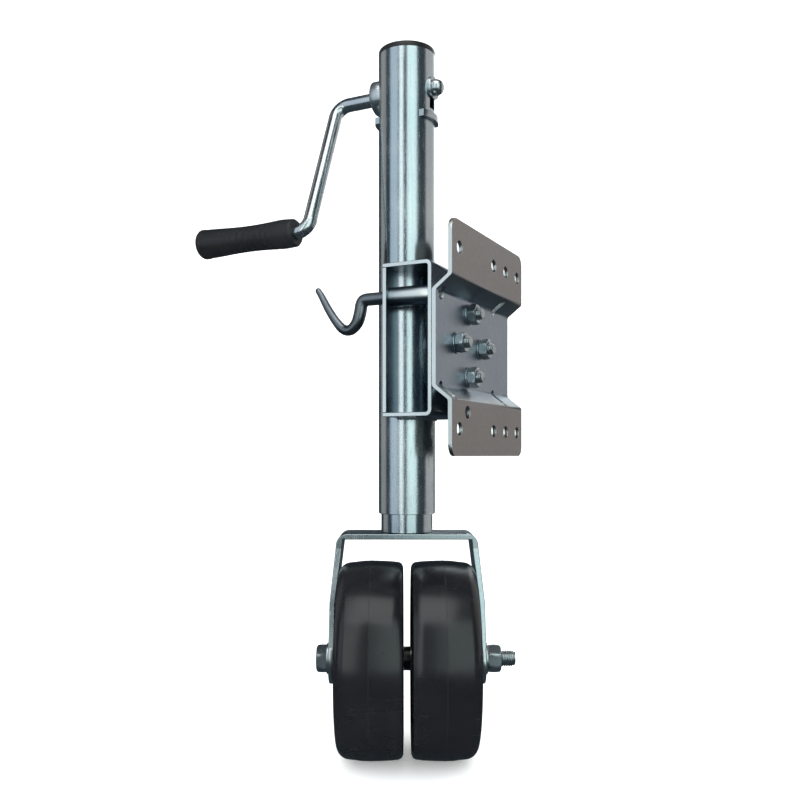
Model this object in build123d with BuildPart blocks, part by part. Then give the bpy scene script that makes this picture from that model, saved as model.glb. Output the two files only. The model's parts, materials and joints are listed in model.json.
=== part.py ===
"""Trailer tongue jack: side-wind crank, swing-away bracket with a pull pin, and a twin-wheel caster.

Millimetres, +Z up. The origin is the centre of the frame bolt pattern, on the outer face of the mounting
plate's wings. +X points from the jack towards the trailer's frame rail.
"""

import os
from math import cos, pi, radians, sin, tan

from build123d import *

os.makedirs("parts", exist_ok=True)

# ---- driving dimensions -------------------------------------------------------------------------------

RUNNING_FIT = 0.08  # radial clearance where one piece turns or slides in another

TUBE_R = 28.6  # outer tube, 57.2 mm outside
TUBE_BORE_R = 26.1
TUBE_X = -72.0  # tube axis
TUBE_Y = -49.5
TUBE_TOP = 293.0
TUBE_BOTTOM = -170.0
CAP_FLAT_R = 4.0

PLATE_T = 4.0  # mounting plate
PLATE_WIDTH = 200.0
PLATE_CENTRE_Y = -1.5
PLATE_HALF_HEIGHT = 112.0
RECESS = 16.6  # the plate's middle stands back from its wings by this much
RECESS_FLAT_HALF = 45.0
RECESS_EDGE_HALF = 58.0
JOGGLE_R = 4.0
PLATE_CORNER_R = 11.0
FRAME_HOLE_R = 6.75
FRAME_HOLE_Y = (-82.5, 9.5, 46.0, 82.5)
FRAME_HOLE_Z = 86.0
PLATE_SLOTS = ((50.0, 49.0), (50.0, -49.0), (-89.0, -49.0))  # Y and Z of three slots in the joggles
SLOT_LENGTH = 18.0
SLOT_WIDTH = 9.0

PIVOT_Y = -19.5  # swing axis, along X, at Z = 0
HUB_R = 43.0
HUB_RETAINER_R = 52.0
HUB_BOLT_CIRCLE_R = 32.0
HUB_BOLT_R = 6.0
HUB_NUT_ACROSS_FLATS = 19.0
HUB_NUT_T = 9.0
HUB_HEAD_T = 7.0
HUB_WASHER_R = 10.8
HUB_WASHER_T = 1.8

WEB_T = 4.0  # swing bracket sheet
WEB_GAP = 0.4  # between the web and the plate
BRACKET_HALF_HEIGHT = 74.0
BRACKET_FRONT_Y = TUBE_Y - 52.0
BRACKET_BACK_Y = TUBE_Y + 40.0
CHEEK_LEFT_X = TUBE_X - 1.0

PIN_R = 6.3  # pull pin
PIN_Y = TUBE_Y - 39.5
PIN_Z = 43.0
PIN_TRAVEL = 21.4  # from drawn, as modelled, to pushed in and locked
HOOK_BEND_R = 7.5  # where the hook handle turns down from the pin
HOOK_BOTTOM_R = 12.0
PIN_HOLE_R = PIN_R + 0.3
SLEEVE_R = 9.5
SLEEVE_BORE_R = 7.8

SHAFT_R = 7.0  # crank rod
SHAFT_Z = 257.0
SHAFT_END = 32.0  # from the tube axis
CRANK_BEND_R = 14.0
BUSH_HOLE_R = 10.0
BEND_X = TUBE_X - 81.0
SPINDLE_Y = TUBE_Y - 60.0
SPINDLE_Z = 112.5
SPINDLE_START_X = TUBE_X - 81.0
GRIP_LENGTH = 118.0
GRIP_START_X = TUBE_X - 94.0
GRIP_END_X = GRIP_START_X - GRIP_LENGTH

GEAR_TEETH = 14  # a pair of equal bevel gears
GEAR_MODULE = 2.25
GEAR_FACE = 7.0
GEAR_BACK = 22.0  # from the cones' apex to the hub's back face
GEAR_HUB_R = 11.5

SCREW_R = 10.0
SCREW_BOTTOM = -138.0
BEARING_T = 4.0
SUPPORT_T = 7.0
SUPPORT_TAB_R = TUBE_R + 3.6
SUPPORT_TAB_HALF_WIDTH = 18.0

RAM_R = 26.0  # inner tube
RAM_BORE_R = 23.0
RAM_TOP = 160.0
RAM_BOTTOM = -188.5
LIFT_NUT_T = 26.0
SWIVEL_BUSH_T = 32.0
SWIVEL_BUSH_BOTTOM = RAM_BOTTOM + 1.5

CASTER_ANGLE = 26.5  # the caster's heading at rest, turned about the tube axis
FORK_TOP = -189.0
FORK_T = 5.5
FORK_TOP_HALF = 69.5
FORK_LEG_HALF = 75.5
FORK_DEPTH = 54.0
SPLAY_END_Z = -254.0
AXLE_Z = -309.0
TRAIL = 38.0
LEG_END_R = 24.0
FORK_CORNER_R = 11.0
STEM_R = 15.0
STEM_TOP = -146.0

WHEEL_R = 95.0
WHEEL_WIDTH = 63.5
WHEEL_GAP_HALF = 3.0
AXLE_R = 7.9
AXLE_HEAD_ACROSS_FLATS = 23.8
AXLE_WASHER_R = 15.0
AXLE_WASHER_T = 2.5
SPACER_R = 11.5
WHEEL_BUSH_R = 12.0

# ---- shared planes and helpers ------------------------------------------------------------------------

web_outer_x = -RECESS - PLATE_T - WEB_GAP
web_inner_x = web_outer_x - WEB_T
plate_inner_x = -RECESS - PLATE_T
hub_back_x = web_inner_x - 0.3
pin_tip_x = web_outer_x - 0.5
retainer_back_x = hub_back_x - PLATE_T
sleeve_start_x = CHEEK_LEFT_X + WEB_T
support_bottom_z = SHAFT_Z - GEAR_BACK - BEARING_T - SUPPORT_T
bearing_z = SHAFT_Z - GEAR_BACK - BEARING_T

ALONG_Y = Plane(origin=(0, 0, 0), x_dir=(1, 0, 0), z_dir=(0, -1, 0))
heading = radians(CASTER_ANGLE)
CASTER_FRONT = Plane(
    origin=(TUBE_X, TUBE_Y, 0), x_dir=(cos(heading), sin(heading), 0), z_dir=(sin(heading), -cos(heading), 0)
)
CASTER_SIDE = Plane(
    origin=(TUBE_X, TUBE_Y, 0), x_dir=(sin(heading), -cos(heading), 0), z_dir=(-cos(heading), -sin(heading), 0)
)
TUBE_SECTION = Plane(origin=(TUBE_X, TUBE_Y, 0), x_dir=(1, 0, 0), z_dir=(0, -1, 0))


def facing_x(x, y=0.0, z=0.0):
    """A plane square to X, with its own x along Y and its own y along Z."""
    return Plane(origin=(x, y, z), x_dir=(0, 1, 0), z_dir=(1, 0, 0))


def level(z):
    """A level plane centred on the tube axis."""
    return Plane(origin=(TUBE_X, TUBE_Y, z))


def across_caster(offset):
    """A plane square to the caster's axle, centred on the axle, at an offset along it."""
    centre = CASTER_FRONT.from_local_coords((offset, AXLE_Z, TRAIL))
    return Plane(origin=centre, x_dir=(sin(heading), -cos(heading), 0), z_dir=(cos(heading), sin(heading), 0))


def save(piece, name):
    """Label a finished piece and write it to its own STEP file."""
    piece.part.label = name
    export_step(piece.part, f"parts/{name}.step")


def ring(name, plane, outer_r, inner_r, length, edge=0.0):
    """A plain round ring or sleeve standing on a plane, with its rims chamfered."""
    with BuildPart() as piece:
        with BuildSketch(plane):
            Circle(outer_r)
            Circle(inner_r, mode=Mode.SUBTRACT)
        extrude(amount=length)
        if edge:
            chamfer(piece.edges().filter_by(GeomType.CIRCLE), edge)
    save(piece, name)


# ---- mounting plate and swing hub ---------------------------------------------------------------------


def make_mount_plate():
    """A sheet joggled twice, so its middle stands back from the two wings that bolt to the frame rail."""
    with BuildPart() as plate:
        with BuildSketch(ALONG_Y):
            with BuildLine():
                Polyline(
                    (0, PLATE_HALF_HEIGHT),
                    (0, RECESS_EDGE_HALF),
                    (-RECESS, RECESS_FLAT_HALF),
                    (-RECESS, -RECESS_FLAT_HALF),
                    (0, -RECESS_EDGE_HALF),
                    (0, -PLATE_HALF_HEIGHT),
                    (-PLATE_T, -PLATE_HALF_HEIGHT),
                    (-PLATE_T, -RECESS_EDGE_HALF - 1),
                    (-RECESS - PLATE_T, -RECESS_FLAT_HALF - 1),
                    (-RECESS - PLATE_T, RECESS_FLAT_HALF + 1),
                    (-PLATE_T, RECESS_EDGE_HALF + 1),
                    (-PLATE_T, PLATE_HALF_HEIGHT),
                    close=True,
                )
            make_face()
        extrude(amount=-PLATE_CENTRE_Y + PLATE_WIDTH / 2)
        extrude(plate.faces().sort_by(Axis.Y)[-1], amount=PLATE_CENTRE_Y + PLATE_WIDTH / 2)
        joggles = (
            plate.edges()
            .filter_by(Axis.Y)
            .filter_by(lambda edge: abs(edge.center().Z) < RECESS_EDGE_HALF + 2)
        )
        fillet(joggles, JOGGLE_R)
        corners = (
            plate.edges()
            .filter_by(Axis.X)
            .filter_by(lambda edge: abs(edge.center().Z) > PLATE_HALF_HEIGHT - 1)
        )
        fillet(corners, PLATE_CORNER_R)
        with BuildSketch(facing_x(10)):
            for z in (-FRAME_HOLE_Z, FRAME_HOLE_Z):
                with Locations(*[(y, z) for y in FRAME_HOLE_Y]):
                    Circle(FRAME_HOLE_R)
            with Locations((PIVOT_Y, 0)):
                with PolarLocations(HUB_BOLT_CIRCLE_R, 4):
                    Circle(HUB_BOLT_R + 0.3)
            with Locations((PIN_Y, PIN_Z), (PIVOT_Y - PIN_Z, PIN_Y - PIVOT_Y)):
                Circle(PIN_HOLE_R)
            with Locations(*PLATE_SLOTS):
                SlotOverall(SLOT_LENGTH, SLOT_WIDTH, rotation=90)
        extrude(amount=-50, mode=Mode.SUBTRACT)
    save(plate, "mount_plate")


def make_hub():
    """The disc that the bracket turns on, and the wider plate that keeps the bracket against it."""
    for name, start, end, radius in (
        ("pivot_hub", hub_back_x, plate_inner_x, HUB_R),
        ("hub_retainer", retainer_back_x, hub_back_x, HUB_RETAINER_R),
    ):
        with BuildPart() as disc:
            with BuildSketch(facing_x(start, PIVOT_Y)):
                Circle(radius)
                with PolarLocations(HUB_BOLT_CIRCLE_R, 4):
                    Circle(HUB_BOLT_R, mode=Mode.SUBTRACT)
            extrude(amount=end - start)
        save(disc, name)


def make_hub_fasteners():
    """Four bolts through the retainer, hub and plate, with washers and nuts in the plate's recess."""
    with BuildPart() as bolts:
        with BuildSketch(facing_x(retainer_back_x, PIVOT_Y)):
            with PolarLocations(HUB_BOLT_CIRCLE_R, 4):
                RegularPolygon(HUB_NUT_ACROSS_FLATS / 2, 6, major_radius=False)
        extrude(amount=-HUB_HEAD_T)
        with BuildSketch(facing_x(retainer_back_x, PIVOT_Y)):
            with PolarLocations(HUB_BOLT_CIRCLE_R, 4):
                Circle(HUB_BOLT_R)
        extrude(amount=-1.0 - retainer_back_x)
        chamfer(bolts.faces().filter_by(Axis.X).sort_by(Axis.X)[-4:].edges(), 1.0)
    save(bolts, "hub_bolts")
    with BuildPart() as washers:
        with BuildSketch(facing_x(-RECESS, PIVOT_Y)):
            with PolarLocations(HUB_BOLT_CIRCLE_R, 4):
                Circle(HUB_WASHER_R)
                Circle(HUB_BOLT_R, mode=Mode.SUBTRACT)
        extrude(amount=HUB_WASHER_T)
    save(washers, "hub_washers")
    with BuildPart() as nuts:
        with BuildSketch(facing_x(-RECESS + HUB_WASHER_T, PIVOT_Y)):
            with PolarLocations(HUB_BOLT_CIRCLE_R, 4):
                RegularPolygon(HUB_NUT_ACROSS_FLATS / 2, 6, major_radius=False)
                Circle(HUB_BOLT_R, mode=Mode.SUBTRACT)
        extrude(amount=HUB_NUT_T)
    save(nuts, "hub_nuts")


# ---- swing bracket and its pull pin -------------------------------------------------------------------


def make_swing_bracket():
    """A bent sheet: an upright web that turns on the hub, and two flanges notched to sit on the tube."""
    half_web = BRACKET_HALF_HEIGHT - 18
    with BuildPart() as bracket:
        with BuildSketch(facing_x(web_inner_x)):
            with BuildLine():
                Polyline(
                    (BRACKET_FRONT_Y, -BRACKET_HALF_HEIGHT),
                    (BRACKET_FRONT_Y, BRACKET_HALF_HEIGHT),
                    (BRACKET_BACK_Y, BRACKET_HALF_HEIGHT),
                    (BRACKET_BACK_Y, BRACKET_HALF_HEIGHT - 9),
                    (PIVOT_Y + 40, half_web - 6),
                    (PIVOT_Y + 56, 24),
                    (PIVOT_Y + 56, -24),
                    (PIVOT_Y + 40, 6 - half_web),
                    (BRACKET_BACK_Y, 9 - BRACKET_HALF_HEIGHT),
                    (BRACKET_BACK_Y, -BRACKET_HALF_HEIGHT),
                    close=True,
                )
            make_face()
            with Locations((PIVOT_Y, 0)):
                Circle(HUB_R + RUNNING_FIT, mode=Mode.SUBTRACT)
            with Locations((PIN_Y, PIN_Z)):
                Circle(PIN_R + RUNNING_FIT, mode=Mode.SUBTRACT)
        extrude(amount=WEB_T)
        for low in (BRACKET_HALF_HEIGHT - WEB_T, -BRACKET_HALF_HEIGHT):
            with BuildSketch(Plane.XY.offset(low)):
                with Locations(((CHEEK_LEFT_X + web_inner_x) / 2, (BRACKET_FRONT_Y + BRACKET_BACK_Y) / 2)):
                    Rectangle(web_inner_x - CHEEK_LEFT_X, BRACKET_BACK_Y - BRACKET_FRONT_Y)
                with Locations((TUBE_X, TUBE_Y)):
                    Circle(TUBE_R, mode=Mode.SUBTRACT)
            extrude(amount=WEB_T)
        bends = (
            bracket.edges()
            .filter_by(Axis.Y)
            .filter_by(lambda edge: edge.center().X > web_outer_x - 1 and abs(edge.center().Z) > 70)
        )
        fillet(bends, 6)
        inner_bends = (
            bracket.edges()
            .filter_by(Axis.Y)
            .filter_by(
                lambda edge: abs(edge.center().X - web_inner_x) < 0.1
                and abs(abs(edge.center().Z) - BRACKET_HALF_HEIGHT + WEB_T) < 0.1
            )
        )
        fillet(inner_bends, 2.5)
    save(bracket, "swing_bracket")


def make_cheek_plate():
    """The strip that closes the bracket's left side and steadies the pull pin's handle end."""
    tube_front_y = TUBE_Y - TUBE_R
    with BuildPart() as cheek:
        with BuildSketch(facing_x(CHEEK_LEFT_X)):
            with Locations(((BRACKET_FRONT_Y + tube_front_y) / 2, 0)):
                Rectangle(tube_front_y - BRACKET_FRONT_Y - 0.2, 2 * (BRACKET_HALF_HEIGHT - WEB_T))
            with Locations((PIN_Y, PIN_Z)):
                Circle(PIN_R + RUNNING_FIT, mode=Mode.SUBTRACT)
        extrude(amount=WEB_T)
    save(cheek, "cheek_plate")


def make_pull_pin():
    """One bent rod, drawn out of the plate: a straight locking end, and a hook handle outside the cheek."""
    hook_x = CHEEK_LEFT_X - PIN_TRAVEL - 6.5
    with BuildPart() as pin:
        with BuildLine():
            FilletPolyline(
                (pin_tip_x, PIN_Y, PIN_Z),
                (hook_x, PIN_Y, PIN_Z),
                (hook_x - 11, PIN_Y, PIN_Z - 51),
                (CHEEK_LEFT_X - 81, PIN_Y, PIN_Z + 12),
                radius=[HOOK_BEND_R, HOOK_BOTTOM_R],
            )
        with BuildSketch(Plane(origin=(pin_tip_x, PIN_Y, PIN_Z), z_dir=(-1, 0, 0))):
            Circle(PIN_R)
        sweep()
        chamfer(pin.faces().sort_by(Axis.X)[-1].edges(), 1.6)
        fillet(pin.faces().filter_by(GeomType.PLANE).sort_by(Axis.X)[0].edges(), 2.5)
    save(pin, "pull_pin")


def make_pin_fittings():
    """The sleeve round the pin, the collar fixed on the pin, and the spring between collar and cheek."""
    collar_t = 3.0
    collar_x = web_inner_x - 1.0 - collar_t - PIN_TRAVEL
    sleeve_length = web_inner_x - sleeve_start_x
    ring("pin_sleeve", facing_x(sleeve_start_x, PIN_Y, PIN_Z), SLEEVE_R, SLEEVE_BORE_R, sleeve_length)
    ring("pin_collar", facing_x(collar_x, PIN_Y, PIN_Z), SLEEVE_BORE_R - 0.4, PIN_R, collar_t)
    wire_r = 0.45
    coil_r = PIN_R + 0.15 + wire_r
    length = collar_x - sleeve_start_x - 2 * wire_r - 0.4
    turns = 9
    with BuildPart() as spring:
        with BuildLine() as coil:
            Helix(pitch=length / turns, height=length, radius=coil_r)
        with BuildSketch(Plane(origin=coil.line @ 0, z_dir=coil.line % 0)):
            Circle(wire_r)
        sweep(is_frenet=True)
    place = Plane(origin=(sleeve_start_x + wire_r + 0.2, PIN_Y, PIN_Z), z_dir=(1, 0, 0)).location
    spring.part = place * spring.part
    save(spring, "pin_spring")


# ---- tube, head and gears -----------------------------------------------------------------------------


def make_outer_tube():
    """The outer tube, with cross holes for the crank shaft, and slots for the screw support's tabs."""
    slot_height = SUPPORT_T + 0.2
    with BuildPart() as tube:
        with BuildSketch(level(TUBE_BOTTOM)):
            Circle(TUBE_R)
            Circle(TUBE_BORE_R, mode=Mode.SUBTRACT)
        extrude(amount=TUBE_TOP - TUBE_BOTTOM)
        chamfer(tube.edges().filter_by(GeomType.CIRCLE).sort_by(Axis.Z)[0:2], 0.6)
        with BuildSketch(facing_x(TUBE_X - 40, TUBE_Y, SHAFT_Z)):
            Circle(BUSH_HOLE_R)
        extrude(amount=80, mode=Mode.SUBTRACT)
        with BuildSketch(facing_x(TUBE_X, TUBE_Y, SHAFT_Z - 15)):
            Rectangle(11, 12)
        extrude(amount=40, mode=Mode.SUBTRACT)
        with BuildSketch(facing_x(TUBE_X - 40, TUBE_Y, support_bottom_z + SUPPORT_T / 2)):
            Rectangle(2 * SUPPORT_TAB_HALF_WIDTH + 0.4, slot_height)
        extrude(amount=80, mode=Mode.SUBTRACT)
    save(tube, "outer_tube")


def make_top_cap():
    """A moulded plug: a slightly domed rim over the tube's end, and a skirt inside it."""
    with BuildPart() as cap:
        with BuildSketch(TUBE_SECTION):
            with BuildLine():
                Line((0, TUBE_TOP + 7), (0, TUBE_TOP + 1))
                Polyline(
                    (0, TUBE_TOP + 1),
                    (TUBE_BORE_R - 2.5, TUBE_TOP + 1),
                    (TUBE_BORE_R - 2.5, TUBE_TOP - 12),
                    (TUBE_BORE_R - 0.05, TUBE_TOP - 12),
                    (TUBE_BORE_R - 0.05, TUBE_TOP),
                    (TUBE_R, TUBE_TOP),
                    (TUBE_R, TUBE_TOP + 3),
                )
                ThreePointArc((TUBE_R, TUBE_TOP + 3), (TUBE_R - 2, TUBE_TOP + 5), (TUBE_R - 5, TUBE_TOP + 5.8))
                ThreePointArc(
                    (TUBE_R - 5, TUBE_TOP + 5.8), (TUBE_R / 2, TUBE_TOP + 6.7), (CAP_FLAT_R, TUBE_TOP + 7)
                )
                Line((CAP_FLAT_R, TUBE_TOP + 7), (0, TUBE_TOP + 7))
            make_face()
        revolve(axis=Axis((TUBE_X, TUBE_Y, 0), (0, 0, 1)))
    save(cap, "top_cap")


def make_crank_bush(name, side, flange_r, stand_off):
    """A bush through the tube's wall, with a flange shaped to sit on the round tube."""
    with BuildPart() as bush:
        with BuildSketch(facing_x(TUBE_X + side * 20, TUBE_Y, SHAFT_Z)):
            Circle(flange_r)
        extrude(amount=side * (stand_off - 20))
        with BuildSketch(level(0)):
            Circle(TUBE_R)
        extrude(amount=TUBE_TOP, mode=Mode.SUBTRACT)
        with BuildSketch(facing_x(TUBE_X + side * 22.5, TUBE_Y, SHAFT_Z)):
            Circle(BUSH_HOLE_R)
        extrude(amount=side * (stand_off - 22.5))
        with BuildSketch(facing_x(TUBE_X + side * 20, TUBE_Y, SHAFT_Z)):
            Circle(SHAFT_R + RUNNING_FIT)
        extrude(amount=side * 30, mode=Mode.SUBTRACT)
    save(bush, name)


def make_screw_support():
    """The disc that carries the screw, held by two curved tabs that stand out through the tube's slots."""
    with BuildPart() as support:
        with BuildSketch(level(support_bottom_z + 0.1)):
            Circle(SUPPORT_TAB_R)
            Rectangle(2 * SUPPORT_TAB_R, 2 * SUPPORT_TAB_HALF_WIDTH, mode=Mode.INTERSECT)
            Circle(TUBE_BORE_R - 0.1)
            Circle(SHAFT_R + RUNNING_FIT, mode=Mode.SUBTRACT)
        extrude(amount=SUPPORT_T - 0.1)
    save(support, "screw_support")


def bevel_gear(turn):
    """A straight-toothed bevel gear with a 45 degree cone. Its apex is at the origin, its hub points down."""
    pitch_r = GEAR_TEETH * GEAR_MODULE / 2
    cone_length = pitch_r * 2**0.5
    inner_scale = (cone_length - GEAR_FACE) / cone_length
    addendum = 0.85 * GEAR_MODULE
    dedendum = 1.2 * GEAR_MODULE
    half_tooth = 0.19 * pi * GEAR_MODULE
    flank = tan(radians(20))
    s = sin(radians(45))
    root = ((cone_length - dedendum) * s, -(cone_length + dedendum) * s)
    with BuildPart() as gear:
        with BuildSketch(Plane.XZ):
            with BuildLine():
                Polyline(
                    (SHAFT_R, root[1] * inner_scale),
                    (root[0] * inner_scale, root[1] * inner_scale),
                    root,
                    (root[0] - 2.0, root[1] - 2.0),
                    (GEAR_HUB_R, -GEAR_BACK),
                    (SHAFT_R, -GEAR_BACK),
                    close=True,
                )
            make_face()
        revolve(axis=Axis.Z)
        for tooth in range(GEAR_TEETH):
            angle = radians(turn + 360 * tooth / GEAR_TEETH)
            across = (-sin(angle), cos(angle), 0)
            outward = (s * cos(angle), s * sin(angle), -s)
            for scale in (1.0, inner_scale):
                along = cone_length * scale
                with BuildSketch(Plane(origin=[along * part for part in outward], x_dir=across, z_dir=outward)):
                    with BuildLine():
                        Polyline(
                            (-(half_tooth + dedendum * flank) * scale, -(dedendum + 0.4) * scale),
                            (-(half_tooth - addendum * flank) * scale, addendum * scale),
                            ((half_tooth - addendum * flank) * scale, addendum * scale),
                            ((half_tooth + dedendum * flank) * scale, -(dedendum + 0.4) * scale),
                            close=True,
                        )
                    make_face()
            loft()
    return gear


def make_gears():
    """The pinion on the crank shaft, and the same gear on the screw, half a tooth round from it."""
    half_pitch = 180 / GEAR_TEETH
    gear = bevel_gear(0)
    gear.part = Pos(TUBE_X, TUBE_Y, SHAFT_Z) * gear.part
    save(gear, "screw_gear")
    pinion = bevel_gear(half_pitch)
    pinion.part = Pos(TUBE_X, TUBE_Y, SHAFT_Z) * Rot(0, 90, 0) * pinion.part
    save(pinion, "crank_pinion")


def make_lead_screw():
    """The lifting screw: a journal through the gear and support, and the long threaded length, plain here."""
    shoulder_z = support_bottom_z - 0.4
    with BuildPart() as screw:
        with BuildSketch(level(SCREW_BOTTOM)):
            Circle(SCREW_R)
        extrude(amount=shoulder_z - SCREW_BOTTOM)
        with BuildSketch(level(shoulder_z)):
            Circle(SHAFT_R)
        extrude(amount=SHAFT_Z - 11 - shoulder_z)
        chamfer(screw.edges().filter_by(GeomType.CIRCLE).sort_by(Axis.Z)[0], 2)
    save(screw, "lead_screw")
    ring("thrust_bearing", level(bearing_z), 13.0, SHAFT_R + RUNNING_FIT, BEARING_T - 0.4, edge=0.4)


# ---- crank --------------------------------------------------------------------------------------------


def make_crank():
    """One bent rod, from the domed nut at its right end, through the head, down the arm, to the grip."""
    start_x = TUBE_X + SHAFT_END
    with BuildPart() as crank:
        with BuildLine():
            FilletPolyline(
                (start_x, TUBE_Y, SHAFT_Z),
                (BEND_X, TUBE_Y, SHAFT_Z),
                (SPINDLE_START_X, SPINDLE_Y, SPINDLE_Z),
                (GRIP_END_X + 8, SPINDLE_Y, SPINDLE_Z),
                radius=CRANK_BEND_R,
            )
        with BuildSketch(Plane(origin=(start_x, TUBE_Y, SHAFT_Z), z_dir=(-1, 0, 0))):
            Circle(SHAFT_R)
        sweep()
    save(crank, "crank_handle")
    nut_r = SHAFT_R + 0.8
    with BuildPart() as nut:
        with BuildSketch(Plane(origin=(TUBE_X, TUBE_Y, SHAFT_Z))):
            with BuildLine():
                Polyline(
                    (SHAFT_END, 0),
                    (SHAFT_END, SHAFT_R),
                    (SHAFT_END - 0.8, SHAFT_R),
                    (SHAFT_END - 0.8, nut_r),
                    (SHAFT_END + 1, nut_r),
                )
                CenterArc((SHAFT_END + 1, 0), nut_r, 0, 90)
                Line((SHAFT_END + 1 + nut_r, 0), (SHAFT_END, 0))
            make_face()
        revolve(axis=Axis((TUBE_X, TUBE_Y, SHAFT_Z), (1, 0, 0)))
    save(nut, "shaft_end_nut")


def make_grip():
    """The moulded grip: waisted, with a flared outer end, finger grooves, and a closed end over the washer."""
    r_spindle = SHAFT_R + 0.1
    profile = ((0, 12.5), (4, 14.5), (20, 14.8), (48, 13.4), (78, 13.6), (102, 15.2), (112, 15.2))
    with BuildPart() as grip:
        with BuildSketch(Plane(origin=(GRIP_START_X, SPINDLE_Y, SPINDLE_Z), x_dir=(-1, 0, 0), z_dir=(0, 1, 0))):
            with BuildLine():
                Line((0, r_spindle), (0, profile[0][1]))
                Spline(*profile)
                ThreePointArc(profile[-1], (GRIP_LENGTH - 1.6, 12.6), (GRIP_LENGTH, 8))
                Line((GRIP_LENGTH, 8), (GRIP_LENGTH, 0))
                Line((GRIP_LENGTH, 0), (GRIP_LENGTH - 4, 0))
                Line((GRIP_LENGTH - 4, 0), (GRIP_LENGTH - 4, 9.6))
                Line((GRIP_LENGTH - 4, 9.6), (GRIP_LENGTH - 14, 9.6))
                Line((GRIP_LENGTH - 14, 9.6), (GRIP_LENGTH - 14, r_spindle))
                Line((GRIP_LENGTH - 14, r_spindle), (0, r_spindle))
            make_face()
        revolve(axis=Axis((GRIP_START_X, SPINDLE_Y, SPINDLE_Z), (-1, 0, 0)))
    save(grip, "grip")
    ring("grip_washer", facing_x(GRIP_END_X + 9, SPINDLE_Y, SPINDLE_Z), 9.2, SHAFT_R, 2.0)


# ---- inner tube ---------------------------------------------------------------------------------------


def make_ram():
    """The inner tube, the lift nut fixed in its top, and the swivel bush fixed in its bottom."""
    ring("inner_tube", level(RAM_BOTTOM), RAM_R, RAM_BORE_R, RAM_TOP - RAM_BOTTOM, edge=0.5)
    ring("lift_nut", level(RAM_TOP - LIFT_NUT_T - 4), RAM_BORE_R, SCREW_R + 0.1, LIFT_NUT_T, edge=0.8)
    ring("swivel_bush", level(SWIVEL_BUSH_BOTTOM), RAM_BORE_R, STEM_R + RUNNING_FIT, SWIVEL_BUSH_T)


# ---- caster -------------------------------------------------------------------------------------------


def make_fork():
    """A strap bent to an inverted U with splayed legs, which lean towards the axle to give the trail."""
    low = AXLE_Z - LEG_END_R - 10
    half_depth = FORK_DEPTH / 2
    with BuildPart() as fork:
        with BuildSketch(CASTER_FRONT):
            with BuildLine():
                Polyline(
                    (-FORK_LEG_HALF, low),
                    (-FORK_LEG_HALF, SPLAY_END_Z),
                    (-FORK_TOP_HALF, FORK_TOP),
                    (FORK_TOP_HALF, FORK_TOP),
                    (FORK_LEG_HALF, SPLAY_END_Z),
                    (FORK_LEG_HALF, low),
                    close=True,
                )
            outer = make_face()
            fillet(outer.vertices().group_by(Axis.Y)[-1], FORK_CORNER_R)
            with BuildLine():
                Polyline(
                    (-FORK_LEG_HALF + FORK_T, low),
                    (-FORK_LEG_HALF + FORK_T, SPLAY_END_Z),
                    (-FORK_TOP_HALF + FORK_T, FORK_TOP - FORK_T),
                    (FORK_TOP_HALF - FORK_T, FORK_TOP - FORK_T),
                    (FORK_LEG_HALF - FORK_T, SPLAY_END_Z),
                    (FORK_LEG_HALF - FORK_T, low),
                    close=True,
                )
            make_face(mode=Mode.SUBTRACT)
        extrude(amount=TRAIL + 60)
        extrude(fork.faces().sort_by(Axis(CASTER_FRONT.origin, CASTER_FRONT.z_dir))[0], amount=60)
        with BuildSketch(CASTER_SIDE):
            with BuildLine():
                Polyline(
                    (-half_depth, FORK_TOP + 1),
                    (half_depth, FORK_TOP + 1),
                    (half_depth, FORK_TOP - 14),
                    (TRAIL + LEG_END_R, AXLE_Z),
                    (TRAIL - LEG_END_R, AXLE_Z),
                    (-half_depth, FORK_TOP - 14),
                    close=True,
                )
            make_face()
            with Locations((TRAIL, AXLE_Z)):
                Circle(LEG_END_R)
                Circle(AXLE_R, mode=Mode.SUBTRACT)
        extrude(amount=90, both=True, mode=Mode.INTERSECT)
    save(fork, "fork")


def make_stem():
    """The stem welded to the fork, and the ring on it that keeps the fork in the swivel bush."""
    groove_z = SWIVEL_BUSH_BOTTOM + SWIVEL_BUSH_T + 1.0
    with BuildPart() as stem:
        with BuildSketch(level(FORK_TOP)):
            Circle(STEM_R)
        extrude(amount=STEM_TOP - FORK_TOP)
        with BuildSketch(level(groove_z)):
            Circle(STEM_R + 1)
            Circle(STEM_R - 1.2, mode=Mode.SUBTRACT)
        extrude(amount=2, mode=Mode.SUBTRACT)
        chamfer(stem.edges().filter_by(GeomType.CIRCLE).sort_by(Axis.Z)[-1], 1.5)
    save(stem, "swivel_stem")
    ring("stem_ring", level(groove_z), STEM_R + 4.5, STEM_R - 1.2, 2)


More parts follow.
